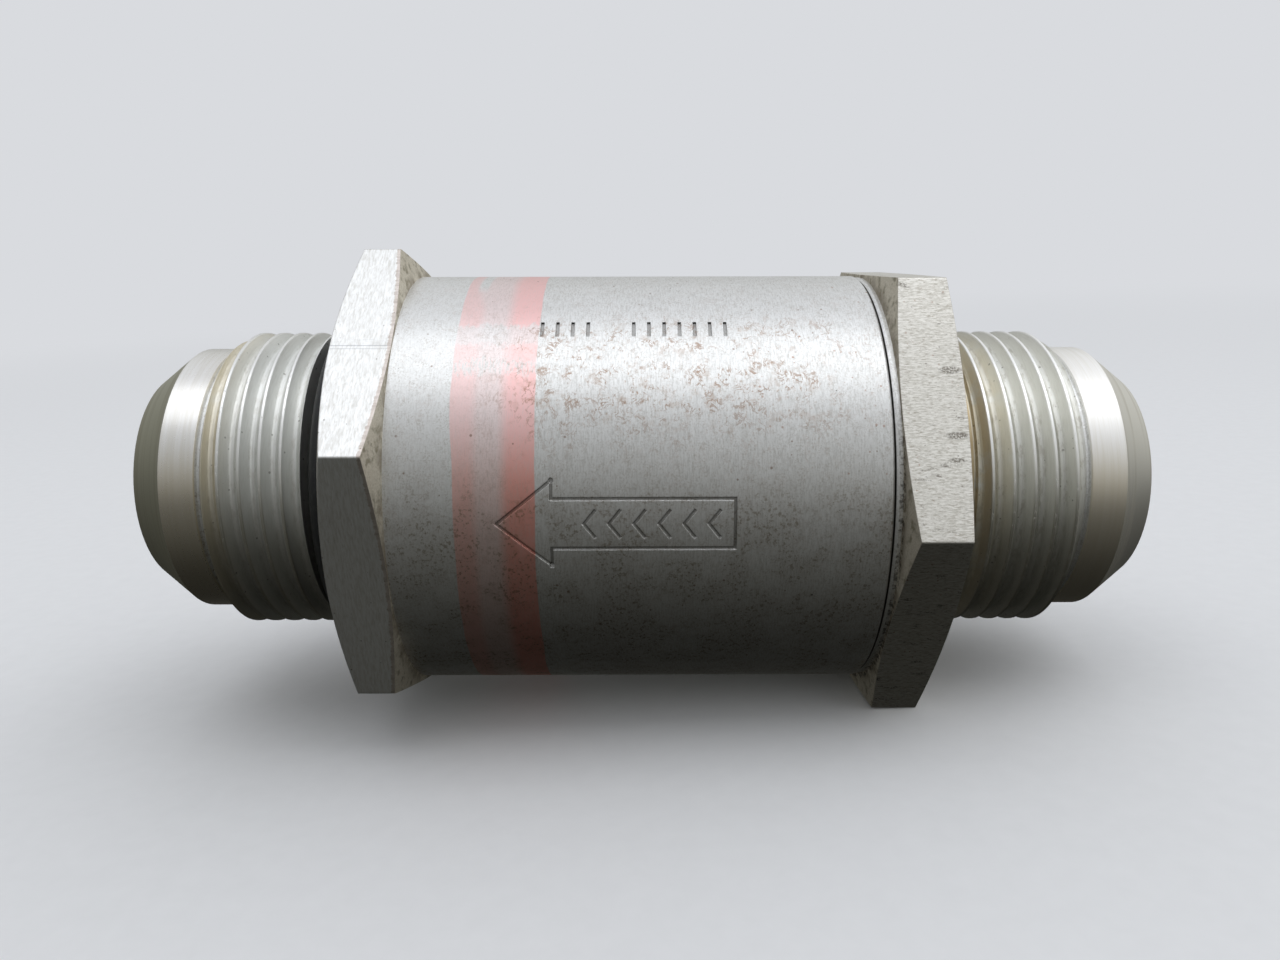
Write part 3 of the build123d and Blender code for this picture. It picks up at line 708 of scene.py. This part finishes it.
def sweep_round_wire(path, radius, sides=16):
    """A closed tube mesh that follows a list of points."""
    mesh = bmesh.new()
    loops = []
    for i, point in enumerate(path):
        before, after = path[max(i - 1, 0)], path[min(i + 1, len(path) - 1)]
        along = (after - before).normalized()
        out = Vector((0, point.y, point.z)).normalized()
        side = along.cross(out).normalized()
        out = side.cross(along)
        loop = []
        for k in range(sides):
            angle = 2 * math.pi * k / sides
            loop.append(mesh.verts.new(point + (out * math.cos(angle) + side * math.sin(angle)) * radius))
        loops.append(loop)
    for a, b in zip(loops, loops[1:]):
        for k in range(sides):
            mesh.faces.new((a[k], a[(k + 1) % sides], b[(k + 1) % sides], b[k]))
    mesh.faces.new(loops[0][::-1])
    mesh.faces.new(loops[-1])
    return mesh


def ground_flat(mesh, low, high):
    """Cuts a mesh off square at two X positions, as a spring's end coils are ground, and caps the cuts."""
    for x, direction in ((low, -1), (high, 1)):
        parts = mesh.verts[:] + mesh.edges[:] + mesh.faces[:]
        result = bmesh.ops.bisect_plane(
            mesh, geom=parts, plane_co=(x, 0, 0), plane_no=(direction, 0, 0), clear_outer=True
        )
        edges = [e for e in result["geom_cut"] if isinstance(e, bmesh.types.BMEdge)]
        bmesh.ops.holes_fill(mesh, edges=edges)
    bmesh.ops.recalc_face_normals(mesh, faces=mesh.faces[:])


def make_spring():
    """The poppet's spring at rest: seven open turns between two closed and ground ones."""
    low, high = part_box("poppet_spring")
    wire_r = 0.7 * MM
    coil_r = high.z - wire_r
    start, end = low.x, high.x
    closed_rise = 2.06 * wire_r
    open_turns = 7.0
    turns = open_turns + 2.0
    first, last = start + 0.35 * wire_r, end - 0.35 * wire_r
    open_rise = (last - first - 2 * closed_rise) / open_turns
    path = []
    per_turn = 48
    for i in range(int(turns * per_turn) + 1):
        t = i / per_turn
        x = first + closed_rise * min(t, 1) + open_rise * min(max(t - 1, 0), open_turns)
        x += closed_rise * max(t - 1 - open_turns, 0)
        angle = 2 * math.pi * t
        path.append(Vector((x, coil_r * math.sin(angle), -coil_r * math.cos(angle))))
    # The rise changes gradually: each point is eased towards its neighbours, three times over.
    reach = 4
    for _ in range(3):
        before = [p.x for p in path]
        for i in range(reach, len(path) - reach):
            path[i].x = sum(before[i - reach : i + reach + 1]) / (2 * reach + 1)
    mesh = sweep_round_wire(path, wire_r)
    ground_flat(mesh, start, end)
    for face in mesh.faces:
        face.smooth = True
    data = bpy.data.meshes.new("spring_coil")
    mesh.to_mesh(data)
    mesh.free()
    spring = bpy.data.objects.new("spring_coil", data)
    bpy.context.scene.collection.objects.link(spring)
    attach(spring, "housing")
    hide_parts("poppet_spring")
    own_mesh(spring)
    return spring


def give(obj, material):
    """Replaces every material slot of an object by one material."""
    obj.data.materials.clear()
    obj.data.materials.append(material)


def set_materials(spring):
    body = aluminium("turned_aluminium_body", -1, True)
    cap = aluminium("turned_aluminium_cap", 1, False)
    black = rubber("black_nitrile")
    white = seal_plastic("seal_plastic_white")
    guide = steel("guide_steel", srgb(188, 188, 190), srgb(146, 146, 148), 0.3, 0.46)
    hard = steel("ground_steel", srgb(206, 206, 208), srgb(168, 168, 170), 0.18, 0.34, 8.0)
    shim = steel("rolled_steel", srgb(200, 200, 202), srgb(176, 176, 178), 0.22, 0.36)
    wire = steel("spring_wire_steel", srgb(128, 128, 132), srgb(88, 88, 92), 0.28, 0.42, 2.0)
    jet = steel("jet_steel", srgb(212, 204, 190), srgb(172, 164, 148), 0.24, 0.4)
    sheet = steel("screen_steel", srgb(190, 190, 188), srgb(150, 150, 148), 0.3, 0.44)
    by_node = {
        "valve_body": body,
        "end_cap": cap,
        "port_o_ring": black,
        "cap_o_ring": black,
        "seat_o_ring": black,
        "cap_backup_ring": white,
        "seat_backup_ring": white,
        "preload_washer": wire,
        "poppet_guide": guide,
        "spring_seat": guide,
        "seat_ring": hard,
        "poppet": hard,
        "spring_shims": shim,
        "spring_thrust_washer": shim,
        "metering_jet": jet,
        "jet_screen_front": sheet,
        "jet_screen_rear": sheet,
        "screen_ring_front": sheet,
        "screen_ring_rear": sheet,
        "poppet_spring": wire,
    }
    for name, material in by_node.items():
        give(nodes[name], material)
    give(spring, wire)


def make_camera():
    """The camera stands low in front, close to the valve, with a wide lens."""
    e = math.radians(CAMERA_ELEVATION)
    place = Vector((CAMERA_X, -CAMERA_DISTANCE * math.cos(e), CAMERA_DISTANCE * math.sin(e))) * MM
    camera = bpy.data.objects.new("camera", bpy.data.cameras.new("camera"))
    camera.data.lens = CAMERA_LENS
    camera.data.sensor_width = 36
    camera.data.clip_start = 0.005
    camera.data.clip_end = 20
    turn = Matrix.Rotation(math.radians(-CAMERA_RIGHT), 4, "Z")
    turn = turn @ Matrix.Rotation(math.radians(90 - CAMERA_ELEVATION - CAMERA_DOWN), 4, "X")
    turn = turn @ Matrix.Rotation(math.radians(CAMERA_ROLL), 4, "Z")
    camera.matrix_world = Matrix.Translation(place) @ turn
    bpy.context.scene.collection.objects.link(camera)
    bpy.context.scene.camera = camera


def make_floor():
    """A pale floor, sloped by three degrees so that it meets both hexagons. It sweeps up far away."""
    left_x, left_z = FLOOR_LEFT
    right_x, right_z = FLOOR_RIGHT
    slope = math.atan2(right_z - left_z, right_x - left_x)
    mesh = bmesh.new()
    sides = 96
    angles = [2 * math.pi * k / sides for k in range(sides)]
    rings = []
    for r, z in FLOOR_OUTLINE:
        rings.append([mesh.verts.new((r * math.cos(a), r * math.sin(a), z)) for a in angles])
    mesh.faces.new(rings[0])
    for a, b in zip(rings, rings[1:]):
        for k in range(sides):
            mesh.faces.new((a[k], b[k], b[(k + 1) % sides], a[(k + 1) % sides]))
    for face in mesh.faces:
        face.smooth = True
    data = bpy.data.meshes.new("studio_floor")
    mesh.to_mesh(data)
    mesh.free()
    floor = bpy.data.objects.new("studio_floor", data)
    floor.matrix_world = Matrix.Translation((left_x, 0, left_z)) @ Matrix.Rotation(-slope, 4, "Y")
    floor.visible_glossy = False
    floor.visible_diffuse = False
    floor.visible_shadow = False
    bpy.context.scene.collection.objects.link(floor)
    g = Graph("studio_floor_pale")
    grain = g.noise(g.point, 0.4, 3.0, 0.6)
    pale = g.mix(grain, srgb(228, 229, 231), srgb(234, 235, 237))
    # Away from the valve the floor turns from lit to softly glowing, so that it stays evenly pale.
    across = g.calc("SQRT", g.total(g.both(g.x, g.x), g.both(g.y, g.y)))
    far = g.step(across, 150, 900)
    g.put(g.shader.inputs["Emission Color"], srgb(*FLOOR_GLOW))
    g.put(g.shader.inputs["Emission Strength"], far)
    g.finish(g.mix(far, pale, (0, 0, 0, 1)), 0.8, 0.0, Specular_IOR_Level=0.0)
    give(floor, g.material)


def between(pair, share):
    """The number this share of the way from the pair's first to its second."""
    return pair[0] + (pair[1] - pair[0]) * share


def make_light():
    """A dome, bright overhead and dim below, and a long soft box over the valve."""
    world = bpy.data.worlds.new("studio_dome")
    bpy.context.scene.world = world
    world.use_nodes = True
    dome = Nodes(world.node_tree)
    place = dome.tree.nodes.new("ShaderNodeTexCoord")
    x, y, z = dome.split(place.outputs["Generated"])
    ramp = dome.tree.nodes.new("ShaderNodeValToRGB")
    dome.put(ramp.inputs[0], dome.calc("MULTIPLY_ADD", z, 0.5, 0.5))
    stops = ramp.color_ramp.elements
    while len(stops) < len(DOME_LEVELS):
        stops.new(0.5)
    for stop, (position, level) in zip(stops, DOME_LEVELS):
        stop.position = position
        stop.color = (level * between(DOME_RED, position), level, level * between(DOME_BLUE, position), 1)
    above = dome.step(z, -0.25, 0.05)
    under = dome.opposite(above)
    right = dome.both(dome.step(x, 0.15, 0.75), above, 1.3)
    left = dome.both(dome.step(x, -0.05, -0.3), 0.12)
    back = dome.both(dome.step(y, 0.3, 1.0), above, 0.6)
    dark_sides = dome.both(dome.within(dome.calc("ABSOLUTE", x), 0.45, 0.85, 0.15), under, -0.2)
    dark_back = dome.both(dome.step(y, 0.0, 0.5), under, -0.45)
    background = dome.tree.nodes.new("ShaderNodeBackground")
    dome.put(background.inputs["Color"], ramp.outputs[0])
    dome.put(background.inputs["Strength"], dome.total(1.0, right, left, back, dark_sides, dark_back))
    output = dome.tree.nodes.new("ShaderNodeOutputWorld")
    dome.put(output.inputs["Surface"], background.outputs[0])
    lamp = bpy.data.lights.new("soft_box", "AREA")
    lamp.shape = "RECTANGLE"
    lamp.size = LAMP_LONG
    lamp.size_y = LAMP_DEEP
    lamp.color = LAMP_COLOR
    lamp.energy = LAMP_WATTS
    box = bpy.data.objects.new("soft_box", lamp)
    elevation = math.radians(LAMP_ELEVATION)
    box.location = Vector((0, -math.cos(elevation), math.sin(elevation))) * LAMP_DISTANCE
    box.rotation_euler = (math.radians(90) - elevation, 0, 0)
    bpy.context.scene.collection.objects.link(box)


make_camera()
spring = make_spring()
set_materials(spring)
make_floor()
make_light()
bpy.context.scene.view_settings.view_transform = "Standard"
